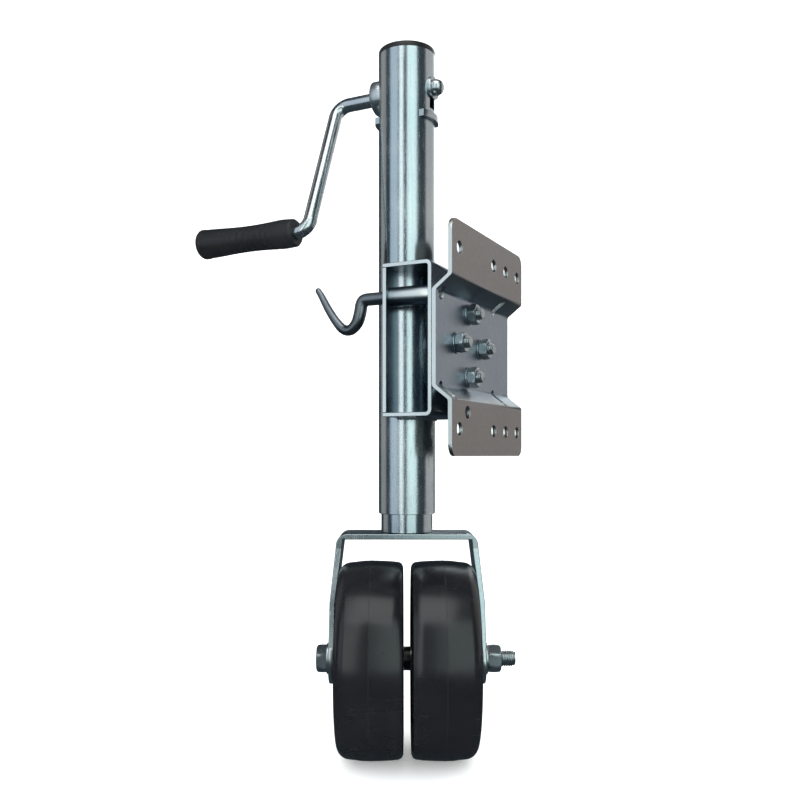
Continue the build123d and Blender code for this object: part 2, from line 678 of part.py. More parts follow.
def make_axle():
    """The axle bolt through both legs, its washers and nut, and the spacers that keep the wheels apart."""
    head_height = 10
    nut_height = 13
    thread_end = 105.0
    with BuildPart() as bolt:
        with BuildSketch(across_caster(-FORK_LEG_HALF - AXLE_WASHER_T)):
            RegularPolygon(AXLE_HEAD_ACROSS_FLATS / 2, 6, major_radius=False)
        extrude(amount=-head_height)
        with BuildSketch(across_caster(-FORK_LEG_HALF - AXLE_WASHER_T)):
            Circle(AXLE_R)
        extrude(amount=FORK_LEG_HALF + AXLE_WASHER_T + thread_end)
    save(bolt, "axle_bolt")
    with BuildPart() as washers:
        for start in (-FORK_LEG_HALF - AXLE_WASHER_T, FORK_LEG_HALF):
            with BuildSketch(across_caster(start)):
                Circle(AXLE_WASHER_R)
                Circle(AXLE_R, mode=Mode.SUBTRACT)
            extrude(amount=AXLE_WASHER_T)
    save(washers, "axle_washers")
    with BuildPart() as nut:
        with BuildSketch(across_caster(FORK_LEG_HALF + AXLE_WASHER_T)):
            RegularPolygon(AXLE_HEAD_ACROSS_FLATS / 2, 6, major_radius=False)
            Circle(AXLE_R, mode=Mode.SUBTRACT)
        extrude(amount=nut_height)
    save(nut, "axle_nut")
    inner = FORK_LEG_HALF - FORK_T
    hub_start = WHEEL_GAP_HALF + 0.2
    hub_end = WHEEL_GAP_HALF + WHEEL_WIDTH
    with BuildPart() as spacers:
        for start, end in ((-inner, -hub_end), (-hub_start, hub_start), (hub_end, inner)):
            with BuildSketch(across_caster(start)):
                Circle(SPACER_R)
                Circle(AXLE_R, mode=Mode.SUBTRACT)
            extrude(amount=end - start)
    save(spacers, "wheel_spacers")


def make_wheel(name, side):
    """A moulded wheel with a crowned tread, a recessed disc and a hub, on a bush that turns on the axle."""
    inner = side * WHEEL_GAP_HALF
    axis_point = across_caster(0).origin
    axis = Axis(axis_point, across_caster(0).z_dir)
    section = Plane(origin=axis_point, x_dir=across_caster(0).z_dir, z_dir=across_caster(0).y_dir)

    def at(along, radius):
        return (inner + side * along, radius)

    shoulder = at(WHEEL_WIDTH - 12, WHEEL_R - 1.8)
    with BuildPart() as wheel:
        with BuildSketch(section):
            with BuildLine():
                ThreePointArc(at(7, WHEEL_R - 1.2), at(WHEEL_WIDTH / 2, WHEEL_R), shoulder)
                ThreePointArc(shoulder, at(WHEEL_WIDTH - 2.8, WHEEL_R - 6), at(WHEEL_WIDTH, WHEEL_R - 14))
                Polyline(
                    at(WHEEL_WIDTH, WHEEL_R - 14),
                    at(WHEEL_WIDTH, WHEEL_R - 18),
                    at(WHEEL_WIDTH - 14, WHEEL_R - 24),
                    at(WHEEL_WIDTH - 14, 30),
                    at(WHEEL_WIDTH - 1, 22),
                    at(WHEEL_WIDTH - 1, WHEEL_BUSH_R),
                    at(0.5, WHEEL_BUSH_R),
                    at(0.5, 22),
                    at(10, 30),
                    at(10, WHEEL_R - 22),
                    at(0, WHEEL_R - 14),
                    at(0, WHEEL_R - 8),
                )
                ThreePointArc(at(0, WHEEL_R - 8), at(2, WHEEL_R - 3), at(7, WHEEL_R - 1.2))
            make_face()
        revolve(axis=axis)
    save(wheel, name)
    with BuildPart() as bush:
        with BuildSketch(across_caster(inner + side * 0.5)):
            Circle(WHEEL_BUSH_R)
            Circle(AXLE_R + RUNNING_FIT, mode=Mode.SUBTRACT)
        extrude(amount=side * (WHEEL_WIDTH - 1.5))
    save(bush, name.replace("wheel_", "wheel_bush_"))


# ---- build --------------------------------------------------------------------------------------------

make_mount_plate()
make_hub()
make_hub_fasteners()
make_swing_bracket()
make_cheek_plate()
make_pull_pin()
make_pin_fittings()
make_outer_tube()
make_top_cap()
make_crank_bush("crank_bush_left", -1, 17, 34.5)
make_crank_bush("crank_bush_right", 1, 11, 30.8)
make_screw_support()
make_gears()
make_lead_screw()
make_crank()
make_grip()
make_ram()
make_fork()
make_stem()
make_axle()
make_wheel("wheel_left", -1)
make_wheel("wheel_right", 1)
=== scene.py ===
"""Looks of the trailer tongue jack: zinc-plated steel, black moulded wheels and grip, in a pale studio.

Metres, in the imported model's frame. Places come from the frame, and sizes of added detail are named here.
"""

import json
from math import cos, pi, radians, sin, tan

import bpy
from mathutils import Matrix, Vector


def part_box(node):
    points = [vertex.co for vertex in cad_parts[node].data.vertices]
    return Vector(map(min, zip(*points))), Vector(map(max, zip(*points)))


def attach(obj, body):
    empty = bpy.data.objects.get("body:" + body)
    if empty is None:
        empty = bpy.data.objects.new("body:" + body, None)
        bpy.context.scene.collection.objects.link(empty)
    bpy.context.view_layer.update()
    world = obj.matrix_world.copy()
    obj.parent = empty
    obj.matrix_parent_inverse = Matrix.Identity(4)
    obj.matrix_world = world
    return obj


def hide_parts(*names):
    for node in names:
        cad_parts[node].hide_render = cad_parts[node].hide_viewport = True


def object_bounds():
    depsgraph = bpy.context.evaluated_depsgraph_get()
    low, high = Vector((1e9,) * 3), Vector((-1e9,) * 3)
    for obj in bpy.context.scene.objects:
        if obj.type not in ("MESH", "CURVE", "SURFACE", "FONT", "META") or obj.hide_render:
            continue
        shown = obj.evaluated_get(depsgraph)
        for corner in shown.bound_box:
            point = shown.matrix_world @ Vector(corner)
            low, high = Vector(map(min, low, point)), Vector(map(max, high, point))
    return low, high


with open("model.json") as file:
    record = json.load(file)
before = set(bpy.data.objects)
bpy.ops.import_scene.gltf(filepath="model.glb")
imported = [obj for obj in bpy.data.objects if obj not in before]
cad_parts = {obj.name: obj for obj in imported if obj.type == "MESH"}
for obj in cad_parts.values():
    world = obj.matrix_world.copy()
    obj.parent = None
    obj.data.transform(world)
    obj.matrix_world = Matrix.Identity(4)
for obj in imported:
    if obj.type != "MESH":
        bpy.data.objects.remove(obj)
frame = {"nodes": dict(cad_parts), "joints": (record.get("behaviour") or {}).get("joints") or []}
cad_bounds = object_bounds()
nodes = frame["nodes"]
joints = {joint["name"]: joint for joint in frame["joints"]}

MM = 0.001
ROUND = 96  # segments of most turned pieces
SHARP_ANGLE = radians(35)

tube_low, tube_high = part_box("inner_tube")
tube_axis = (tube_low + tube_high) / 2


# ---- materials ----------------------------------------------------------------------------------------


class Shader:
    """A Principled material with short calls for the nodes that all the finishes share."""

    def __init__(self, name):
        self.material = bpy.data.materials.new(name)
        self.material.use_nodes = True
        self.nodes = self.material.node_tree.nodes
        self.links = self.material.node_tree.links
        self.base = self.nodes["Principled BSDF"]
        self.place = self.nodes.new("ShaderNodeTexCoord").outputs["Object"]

    def set(self, **values):
        for name, value in values.items():
            self.base.inputs[name.replace("_", " ")].default_value = value

    def join(self, output, name):
        self.links.new(output, self.base.inputs[name])

    def stretched(self, scale):
        """The object's own coordinates, stretched, so that a texture can run along one direction."""
        mapping = self.nodes.new("ShaderNodeMapping")
        mapping.inputs["Scale"].default_value = scale
        self.links.new(self.place, mapping.inputs["Vector"])
        return mapping.outputs["Vector"]

    def noise(self, scale, detail=4.0, place=None):
        texture = self.nodes.new("ShaderNodeTexNoise")
        texture.inputs["Scale"].default_value = scale
        texture.inputs["Detail"].default_value = detail
        self.links.new(place or self.place, texture.inputs["Vector"])
        return texture.outputs["Fac"]

    def spangle(self, scale):
        """Small cells, darkest at their centres, as the crystals of a zinc coat."""
        texture = self.nodes.new("ShaderNodeTexVoronoi")
        texture.inputs["Scale"].default_value = scale
        self.links.new(self.place, texture.inputs["Vector"])
        return texture.outputs["Distance"]

    def ramp(self, value, *stops):
        """A colour ramp through (position, colour) stops. A colour may be one grey number."""
        node = self.nodes.new("ShaderNodeValToRGB")
        while len(node.color_ramp.elements) < len(stops):
            node.color_ramp.elements.new(0.5)
        for element, (position, colour) in zip(node.color_ramp.elements, stops):
            element.position = position
            rgb = colour if isinstance(colour, tuple) else (colour,) * 3
            element.color = (*rgb, 1.0)
        self.links.new(value, node.inputs["Fac"])
        return node.outputs["Color"]

    def mix(self, factor, a, b, blend="MIX"):
        node = self.nodes.new("ShaderNodeMix")
        node.data_type = "RGBA"
        node.blend_type = blend
        for socket, value in ((node.inputs[0], factor), (node.inputs[6], a), (node.inputs[7], b)):
            if isinstance(value, bpy.types.NodeSocket):
                self.links.new(value, socket)
            elif isinstance(value, tuple):
                socket.default_value = (*value, 1.0)
            else:
                socket.default_value = value
        return node.outputs[2]

    def math(self, operation, a, b=0.0):
        node = self.nodes.new("ShaderNodeMath")
        node.operation = operation
        for socket, value in zip(node.inputs, (a, b)):
            if isinstance(value, bpy.types.NodeSocket):
                self.links.new(value, socket)
            else:
                socket.default_value = value
        return node.outputs[0]

    def edges(self, width):
        """Near 1 on edges and corners and 0 elsewhere, from how far a rounded normal leaves the true one."""
        bevel = self.nodes.new("ShaderNodeBevel")
        bevel.inputs["Radius"].default_value = width
        true = self.nodes.new("ShaderNodeNewGeometry").outputs["Normal"]
        dot = self.nodes.new("ShaderNodeVectorMath")
        dot.operation = "DOT_PRODUCT"
        self.links.new(bevel.outputs["Normal"], dot.inputs[0])
        self.links.new(true, dot.inputs[1])
        return self.ramp(dot.outputs["Value"], (0.80, 1.0), (0.985, 0.0))

    def cut_edge_highlight(self):
        """1 on the faces that look along the object's -Y, toward the camera and the front lights. These are
        the sheet's cut edges, real cut metal, painted brighter on this side only as a painted highlight.
        """
        split = self.nodes.new("ShaderNodeSeparateXYZ")
        self.links.new(self.nodes.new("ShaderNodeTexCoord").outputs["Normal"], split.inputs[0])
        return self.ramp(self.math("MULTIPLY", split.outputs["Y"], -1.0), (0.85, 0.0), (0.97, 1.0))

    def bump(self, *layers):
        """Stacks (height, strength, distance) layers into the material's normal."""
        normal = None
        for height, strength, distance in layers:
            node = self.nodes.new("ShaderNodeBump")
            node.inputs["Strength"].default_value = strength
            node.inputs["Distance"].default_value = distance
            self.links.new(height, node.inputs["Height"])
            if normal:
                self.links.new(normal, node.inputs["Normal"])
            normal = node.outputs["Normal"]
        self.join(normal, "Normal")


# Near-white metal for the cut edges that face the camera: part real cut metal, part painted highlight.
CUT_EDGE_HIGHLIGHT_METAL = (0.97, 1.0, 0.96)


def plated_steel(name, dark, pale, rough, grain=(60, 60, 60), wear=0.6, cut_edge_highlight=False):
    """Zinc plate over steel: cloudy tone, small crystals, drawing lines, fine scratches and bright edges."""
    s = Shader(name)
    s.set(Metallic=1.0)
    clouds = s.noise(14, 5)
    tone = s.ramp(clouds, (0.32, dark), (0.68, pale))
    crystals = s.ramp(s.spangle(420), (0.0, 0.9), (0.9, 1.0))
    tone = s.mix(0.55, tone, crystals, "MULTIPLY")
    lines = s.noise(8, 3, s.stretched(grain))
    tone = s.mix(0.22, tone, s.ramp(lines, (0.35, 0.72), (0.65, 1.0)), "MULTIPLY")
    edges = s.edges(0.9 * MM)
    tone = s.mix(s.math("MULTIPLY", edges, wear), tone, (0.86, 0.9, 0.9))
    # Paints the cut edges that face the camera near-white: part real cut metal, part painted highlight.
    if cut_edge_highlight:
        tone = s.mix(s.cut_edge_highlight(), tone, CUT_EDGE_HIGHLIGHT_METAL)
    s.join(tone, "Base Color")
    scratches = s.noise(30, 2, s.stretched((40, 2, 2)))
    scratches = s.ramp(scratches, (0.62, 0.0), (0.66, 1.0))
    roughness = s.ramp(clouds, (0.3, rough * 0.75), (0.7, rough * 1.35))
    roughness = s.mix(s.math("MULTIPLY", scratches, 0.35), roughness, (0.5, 0.5, 0.5))
    s.join(roughness, "Roughness")
    s.bump((lines, 0.05, 0.3 * MM), (clouds, 0.12, 1.2 * MM), (scratches, 0.05, 0.08 * MM))
    return s.material


def plate_finish():
    """The mounting plate: blue-grey in its recessed middle, and duller and browner on its two wings. These
    are painted reflections of the different surroundings that the two faces of the one zinc sheet see.
    """
    s = Shader("plate_zinc")
    s.set(Metallic=1.0)
    split = s.nodes.new("ShaderNodeSeparateXYZ")
    s.links.new(s.place, split.inputs[0])
    clouds = s.noise(18, 6)
    # Painted reflections: the same zinc, toned browner on the wings and bluer in the recessed middle, as the
    # two faces reflect different surroundings.
    height = s.math("ABSOLUTE", split.outputs["Z"])
    height = s.math("ADD", height, s.math("MULTIPLY", s.math("SUBTRACT", clouds, 0.5), 12 * MM))
    wing_reflection_mask = s.ramp(height, (46 * MM, 0.0), (62 * MM, 1.0))
    middle_reflection_tone = s.ramp(clouds, (0.3, (0.34, 0.40, 0.46)), (0.7, (0.48, 0.55, 0.60)))
    wing_reflection_tone = s.ramp(clouds, (0.3, (0.32, 0.30, 0.29)), (0.7, (0.42, 0.40, 0.385)))
    tone = s.mix(wing_reflection_mask, middle_reflection_tone, wing_reflection_tone)
    crystals = s.ramp(s.spangle(300), (0.0, 0.82), (0.9, 1.0))
    tone = s.mix(0.7, tone, crystals, "MULTIPLY")
    edges = s.edges(1.1 * MM)
    tone = s.mix(s.math("MULTIPLY", edges, 0.85), tone, (0.84, 0.88, 0.87))
    # Paints the cut edges that face the camera near-white: part real cut metal, part painted highlight.
    tone = s.mix(s.cut_edge_highlight(), tone, CUT_EDGE_HIGHLIGHT_METAL)
    s.join(tone, "Base Color")
    rolled = s.noise(10, 3, s.stretched((6, 2, 50)))
    s.join(s.ramp(clouds, (0.3, 0.3), (0.7, 0.48)), "Roughness")
    s.bump((rolled, 0.06, 0.3 * MM), (clouds, 0.15, 1.5 * MM))
    return s.material


def bronze_finish():
    """Turned bronze with fine tool lines."""
    s = Shader("bronze")
    s.set(Metallic=1.0)
    clouds = s.noise(25)
    s.join(s.ramp(clouds, (0.3, (0.42, 0.27, 0.12)), (0.7, (0.66, 0.46, 0.24))), "Base Color")
    s.join(s.ramp(clouds, (0.3, 0.25), (0.7, 0.42)), "Roughness")
    s.bump((s.noise(4, 2, s.stretched((2, 2, 900))), 0.1, 0.1 * MM))
    return s.material


def moulded_black(name, rough, texture_scale, texture_height, dust=0.35):
    """Black moulded plastic: a faint mould grain, cloudy gloss, light scuffs, and paler rubbed edges."""
    s = Shader(name)
    clouds = s.noise(9, 5)
    fine = s.noise(texture_scale, 3)
    tone = s.ramp(clouds, (0.3, (0.0045, 0.0045, 0.0055)), (0.75, (0.011, 0.011, 0.013)))
    scuffs = s.ramp(s.noise(22, 6, s.stretched((1, 3, 7))), (0.60, 0.0), (0.74, 1.0))
    tone = s.mix(s.math("MULTIPLY", scuffs, dust * 0.2), tone, (0.04, 0.04, 0.043))
    tone = s.mix(s.math("MULTIPLY", s.edges(0.8 * MM), dust), tone, (0.045, 0.046, 0.05))
    s.join(tone, "Base Color")
    gloss = s.ramp(clouds, (0.3, rough * 0.8), (0.7, rough * 1.3))
    s.join(s.mix(s.math("MULTIPLY", scuffs, 0.18), gloss, (0.5, 0.5, 0.5)), "Roughness")
    s.bump((fine, 0.12, texture_height), (clouds, 0.06, 0.8 * MM))
    return s.material


tube_zinc = plated_steel("tube_zinc", (0.52, 0.61, 0.65), (0.72, 0.79, 0.81), 0.2, grain=(40, 40, 1))
sheet_zinc = plated_steel(
    "sheet_zinc", (0.50, 0.57, 0.60), (0.70, 0.75, 0.76), 0.26, grain=(3, 3, 50), wear=0.9
)
bracket_zinc = plated_steel(
    "bracket_zinc", (0.15, 0.20, 0.26), (0.27, 0.33, 0.38), 0.3, grain=(3, 3, 50), wear=1.0, cut_edge_highlight=True
)
rod_zinc = plated_steel("rod_zinc", (0.55, 0.60, 0.63), (0.76, 0.80, 0.81), 0.2, grain=(1, 30, 30))
pin_zinc = plated_steel("pin_zinc", (0.17, 0.19, 0.21), (0.34, 0.36, 0.38), 0.3, grain=(1, 30, 30))
bolt_zinc = plated_steel("bolt_zinc", (0.44, 0.50, 0.53), (0.68, 0.72, 0.73), 0.27, grain=(2, 40, 40))
machined = plated_steel("machined_steel", (0.36, 0.36, 0.37), (0.55, 0.55, 0.56), 0.3, grain=(4, 4, 60))
weld_metal = plated_steel("weld_metal", (0.30, 0.33, 0.35), (0.52, 0.56, 0.57), 0.4, wear=0.3)
plate_zinc = plate_finish()
bronze = bronze_finish()
wheel_black = moulded_black("wheel_black", 0.24, 700, 0.05 * MM)
grip_black = moulded_black("grip_black", 0.42, 1100, 0.12 * MM, dust=0.5)
cap_black = moulded_black("cap_black", 0.38, 900, 0.08 * MM)

FINISHES = {
    plate_zinc: ("mount_plate",),
    tube_zinc: ("outer_tube", "inner_tube"),
    bracket_zinc: ("swing_bracket", "cheek_plate", "pin_sleeve"),
    sheet_zinc: ("fork", "pivot_hub", "hub_retainer", "screw_support", "crank_bush_left", "crank_bush_right"),
    rod_zinc: ("crank_handle", "shaft_end_nut", "grip_washer", "swivel_stem"),
    pin_zinc: ("pull_pin",),
    bolt_zinc: (
        "hub_bolts", "hub_nuts", "hub_washers", "axle_bolt", "axle_nut", "axle_washers", "stem_ring",
        "wheel_bush_left", "wheel_bush_right", "pin_collar", "pin_spring",
    ),
    machined: ("lead_screw", "screw_gear", "crank_pinion", "thrust_bearing"),
    bronze: ("lift_nut", "swivel_bush"),
    wheel_black: ("wheel_left", "wheel_right", "wheel_spacers"),
    cap_black: ("top_cap",),
    grip_black: ("grip",),
}


def dress(obj, material):
    """Gives an object one material."""
    obj.data.materials.clear()
    obj.data.materials.append(material)


for finish, names in FINISHES.items():
    for name in names:
        dress(nodes[name], finish)


def soften(node, width):
    """Rounds a CAD node's sharp edges: joins its split corners, dissolves flat triangles, then bevels."""
    weld = node.modifiers.new("weld", "WELD")
    weld.merge_threshold = 0.01 * MM
    flat = node.modifiers.new("flat", "DECIMATE")
    flat.decimate_type = "DISSOLVE"
    flat.angle_limit = radians(0.5)
    bevel = node.modifiers.new("bevel", "BEVEL")
    bevel.width = width
    bevel.segments = 2
    bevel.limit_method = "ANGLE"
    bevel.angle_limit = radians(40)
    bevel.use_clamp_overlap = True
    bevel.harden_normals = True


# How far each node's edges are rounded, in millimetres.
SOFT_EDGES = {
    "mount_plate": 0.7, "swing_bracket": 0.6, "cheek_plate": 0.6, "fork": 0.9, "hub_retainer": 0.5,
    "hub_washers": 0.25, "axle_washers": 0.4, "pin_sleeve": 0.3, "screw_support": 0.4,
    "crank_bush_left": 0.5, "crank_bush_right": 0.5,
}
for name, width in SOFT_EDGES.items():
    soften(nodes[name], width * MM)


# ---- mesh pieces --------------------------------------------------------------------------------------


def turned(rings, segments=ROUND, pole_start=True, pole_end=True):
    """Vertices and faces of a surface through rings about Z. A ring is (z, radius), and a radius may be a
    function of the angle. An end closes on a pole or stays open, and without poles the last ring joins the
    first."""
    vertices = []
    faces = []
    for z, radius in rings:
        for step in range(segments):
            angle = 2 * pi * step / segments
            r = radius(angle) if callable(radius) else radius
            vertices.append(Vector((r * cos(angle), r * sin(angle), z)))
    closed = not (pole_start or pole_end)
    for ring in range(len(rings) if closed else len(rings) - 1):
        low = ring * segments
        high = (ring + 1) % len(rings) * segments
        for step in range(segments):
            after = (step + 1) % segments
            faces.append((low + step, low + after, high + after, high + step))
    if pole_start:
        vertices.append(Vector((0, 0, rings[0][0])))
        pole = len(vertices) - 1
        faces += [(pole, (step + 1) % segments, step) for step in range(segments)]
    if pole_end:
        vertices.append(Vector((0, 0, rings[-1][0])))
        pole = len(vertices) - 1
        last = (len(rings) - 1) * segments
        faces += [(pole, last + step, last + (step + 1) % segments) for step in range(segments)]
    return vertices, faces


def axis_frame(point, axis):
    """The matrix that puts a piece's own origin at a point and its Z along an axis."""
    turn = Vector(axis).normalized().to_track_quat("Z", "Y")
    return Matrix.Translation(Vector(point)) @ turn.to_matrix().to_4x4()


def piece(name, parts, body, material, replaces=()):
    """One object from (matrix, (vertices, faces)) parts. It rides on a body and may stand for CAD nodes."""
    vertices = []
    faces = []
    for matrix, (points, polygons) in parts:
        start = len(vertices)
        vertices += [matrix @ point for point in points]
        faces += [tuple(start + index for index in polygon) for polygon in polygons]
    mesh = bpy.data.meshes.new(name)
    mesh.from_pydata(vertices, [], faces)
    mesh.validate()
    mesh.update()
    obj = bpy.data.objects.new(name, mesh)
    bpy.context.scene.collection.objects.link(obj)
    for polygon in mesh.polygons:
        polygon.use_smooth = True
    mesh.set_sharp_from_angle(angle=SHARP_ANGLE)
    dress(obj, material)
    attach(obj, body)
    if replaces:
        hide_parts(*replaces)


def extent(name, point, axis):
    """How far a CAD node reaches along an axis from a point, both ways, and its greatest radius about it."""
    axis = Vector(axis).normalized()
    origin = Vector(point)
    along = []
    across = []
    for vertex in nodes[name].data.vertices:
        offset = vertex.co - origin
        along.append(offset.dot(axis))
        across.append((offset - offset.dot(axis) * axis).length)
    return min(along), max(along), max(across)


def hexed(across_flats):
    """The radius of a hexagon as a function of the angle."""
    return lambda angle: across_flats / 2 / cos((angle + pi / 6) % (pi / 3) - pi / 6)


CHAMFER_STEPS = 5
CHAMFER_SLOPE = tan(radians(30))
HEX_FACE_SHARE = 0.47  # the radius of a hexagon's round end face, as a share of the width across its flats


def chamfered_hex(across_flats, low, high, chamfer_high):
    """Rings of a hexagon from low to high. A 30 degree cone cuts its low end and, if asked, its high end."""
    flat = hexed(across_flats)
    face_r = HEX_FACE_SHARE * across_flats
    drop = (across_flats / 2 / cos(pi / 6) - face_r) * CHAMFER_SLOPE
    depths = [drop * step / CHAMFER_STEPS for step in range(CHAMFER_STEPS)]

    def cut(z, depth):
        return z, lambda angle: min(flat(angle), face_r + depth / CHAMFER_SLOPE)

    rings = [cut(low + depth, depth) for depth in depths]
    rings.append(((low + high) / 2, flat))
    if chamfer_high:
        rings += [cut(high - depth, depth) for depth in reversed(depths)]
    else:
        rings.append((high, flat))
    return rings


THREAD_DEPTH_SHARE = 0.6
RINGS_PER_TURN = 8
FADE_TURNS = 1.5


def thread(radius, pitch, low, high):
    """Rings of a screw thread whose crests run round in a helix and fade over the last turn and a half."""
    depth = THREAD_DEPTH_SHARE * pitch
    count = int((high - low) / pitch * RINGS_PER_TURN)
    rings = []
    for step in range(count + 1):
        z = low + (high - low) * step / count
        fade = min(1.0, (high - z) / (FADE_TURNS * pitch))

        def ridge(angle, z=z, fade=fade):
            phase = (z / pitch - angle / (2 * pi)) % 1.0
            trough = abs(2 * phase - 1)
            return radius - depth * trough - (1 - fade) * depth * 0.9

        rings.append((z, ridge))
    return rings


# ---- fasteners ----------------------------------------------------------------------------------------

HUB_BOLT_R = 6.0 * MM
HUB_ACROSS_FLATS = 19.0 * MM
HUB_HEAD_T = 7.0 * MM
HUB_PITCH = 1.8 * MM
HUB_BOLT_CIRCLE_R = 32.0 * MM
HUB_BOLT_TURN = 0.37  # radians by which each hexagon is turned further than the one before
HUB_SEGMENTS = 60
THREAD_GAP = 0.1 * MM
NUT_CLEARANCE = 0.05 * MM


def bolt_rings(across_flats, head_t, bolt_r, pitch, low, thread_low, high):
    """Rings of a bolt, from its chamfered head along its plain shank to its threaded end."""
    rings = chamfered_hex(across_flats, low, low + head_t, False)
    rings += [(low + head_t, bolt_r), (thread_low, bolt_r)]
    return rings + thread(bolt_r, pitch, thread_low + THREAD_GAP, high)


def nut_rings(across_flats, bolt_r, low, high, lip, lip_depth):
    """Rings of a chamfered nut with a plain bore, which widens by the lip near its high face."""
    bore = bolt_r + NUT_CLEARANCE
    rings = chamfered_hex(across_flats, low, high, True)
    return rings + [(high - 0.4 * MM, bore + lip), (high - lip_depth, bore), (low, bore)]


def make_hub_fasteners():
    """Chamfered heads and nuts, and threads on the four bolts round the swing axis."""
    point = Vector(joints["swing"]["pos_m"])
    bolts_low, bolts_high = (corner.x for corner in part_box("hub_bolts"))
    nuts_low, nuts_high = (corner.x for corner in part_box("hub_nuts"))
    bolts = []
    nuts = []
    for turn in range(4):
        angle = turn * pi / 2
        y = point.y + HUB_BOLT_CIRCLE_R * cos(angle)
        z = point.z + HUB_BOLT_CIRCLE_R * sin(angle)
        place = axis_frame((0, y, z), (1, 0, 0)) @ Matrix.Rotation(HUB_BOLT_TURN * turn, 4, "Z")
        bolt = bolt_rings(
            HUB_ACROSS_FLATS, HUB_HEAD_T, HUB_BOLT_R, HUB_PITCH, bolts_low, nuts_low, bolts_high
        )
        bolts.append((place, turned(bolt, HUB_SEGMENTS)))
        nut = nut_rings(HUB_ACROSS_FLATS, HUB_BOLT_R, nuts_low, nuts_high, 0.5 * MM, 0.8 * MM)
        nuts.append((place, turned(nut, HUB_SEGMENTS, False, False)))
    piece("hub_bolts_threaded", bolts, "mount", bolt_zinc, ["hub_bolts"])
    piece("hub_nuts_chamfered", nuts, "mount", bolt_zinc, ["hub_nuts"])


AXLE_PITCH = 2.3 * MM
AXLE_R = 7.9 * MM
AXLE_ACROSS_FLATS = 23.8 * MM
AXLE_HEAD_T = 10.0 * MM
AXLE_THREAD_LENGTH = 34.0 * MM
AXLE_SEGMENTS = 72


def make_axle():
    """The axle bolt with a chamfered head and a threaded end, and its chamfered nut."""
    joint = joints["wheel_left_spin"]
    place = axis_frame(joint["pos_m"], joint["axis"])
    low, high, _ = extent("axle_bolt", joint["pos_m"], joint["axis"])
    rings = bolt_rings(
        AXLE_ACROSS_FLATS, AXLE_HEAD_T, AXLE_R, AXLE_PITCH, low, high - AXLE_THREAD_LENGTH, high
    )
    bolt = turned(rings, AXLE_SEGMENTS)
    piece("axle_bolt_threaded", [(place, bolt)], "caster", bolt_zinc, ["axle_bolt"])
    low, high, _ = extent("axle_nut", joint["pos_m"], joint["axis"])
    rings = nut_rings(AXLE_ACROSS_FLATS, AXLE_R, low, high, 0.7 * MM, 1.0 * MM)
    nut = turned(rings, AXLE_SEGMENTS, False, False)
    piece("axle_nut_chamfered", [(place, nut)], "caster", bolt_zinc, ["axle_nut"])


make_hub_fasteners()
make_axle()


# ---- wheels and grip ----------------------------------------------------------------------------------

WHEEL_BORE_R = 12.0 * MM
WHEEL_SEGMENTS = 160
WHEEL_SHOULDER_R = 12 * MM
HUB_INSET = 1.1 * MM
DISH_DEPTH = 14.2 * MM
RIM_DEPTH = 24 * MM
WHEEL_RIBS = 8
RIB_HALF_T = 1.8 * MM
RIB_STATIONS = 14
RIB_DIP = 0.35  # how much lower the rib's middle is, as a share of its height


def arc(centre, radius, start, end, steps):
    """Points of an arc in the profile's plane, as (z, radius) rings, between two angles in degrees."""
    points = []
    for step in range(steps + 1):
        angle = radians(start + (end - start) * step / steps)
        points.append((centre[0] + radius * cos(angle), centre[1] + radius * sin(angle)))
    return points


def make_wheel(name, side):
    """A moulded wheel: a crowned tread with a fine parting line, a deep dished side with ribs, and a hub."""
    joint = joints[f"{name}_spin"]
    axis = Vector(joint["axis"]) * side
    place = axis_frame(joint["pos_m"], axis)
    inner, outer, radius = extent(name, joint["pos_m"], axis)
    middle = (inner + outer) / 2
    crown = [
        (inner + 0.6 * MM, radius - 12 * MM),
        (inner + 0.7 * MM, radius - 6.5 * MM),
        (inner + 2.2 * MM, radius - 3.2 * MM),
        (inner + 5.0 * MM, radius - 1.7 * MM),
        (inner + 12 * MM, radius - 0.9 * MM),
        (middle - 8 * MM, radius - 0.35 * MM),
        (middle - 0.5 * MM, radius - 0.22 * MM),
        (middle - 0.3 * MM, radius),
        (middle + 0.3 * MM, radius),
        (middle + 0.5 * MM, radius - 0.22 * MM),
        (middle + 8 * MM, radius - 0.4 * MM),
        (outer - 18 * MM, radius - 1.2 * MM),
    ]
    shoulder_centre = (outer - WHEEL_SHOULDER_R, radius - 1.9 * MM - WHEEL_SHOULDER_R)
    shoulder = arc(shoulder_centre, WHEEL_SHOULDER_R, 82, 0, 10)
    hub_out = outer - HUB_INSET
    dish = outer - DISH_DEPTH
    rim_r = radius - RIM_DEPTH
    side_profile = [
        (outer, radius - 17.5 * MM),
        (outer - 0.8 * MM, radius - 18.8 * MM),
        (outer - 6 * MM, radius - 20.6 * MM),
        (dish + 1.5 * MM, rim_r + 1.2 * MM),
        (dish, rim_r - 1.0 * MM),
        (dish, 33 * MM),
        (dish + 1.6 * MM, 30.4 * MM),
        (hub_out - 1.5 * MM, 23.4 * MM),
        (hub_out, 21.6 * MM),
        (hub_out, WHEEL_BORE_R + 0.9 * MM),
        (hub_out - 0.8 * MM, WHEEL_BORE_R),
        (inner + 1.0 * MM, WHEEL_BORE_R),
        (inner + 0.8 * MM, 21.5 * MM),
        (inner + 10.2 * MM, 30.5 * MM),
        (inner + 10.2 * MM, radius - 22.5 * MM),
        (inner + 1.5 * MM, radius - 14.5 * MM),
    ]
    parts = [(place, turned(crown + shoulder + side_profile, WHEEL_SEGMENTS, False, False))]
    for rib in range(WHEEL_RIBS):
        turn = place @ Matrix.Rotation(2 * pi * rib / WHEEL_RIBS, 4, "Z")
        parts.append((turn, rib_between(26 * MM, rim_r + 1.5 * MM, dish - 1 * MM, hub_out - 4 * MM)))
    piece(f"{name}_moulding", parts, name, wheel_black, [name])


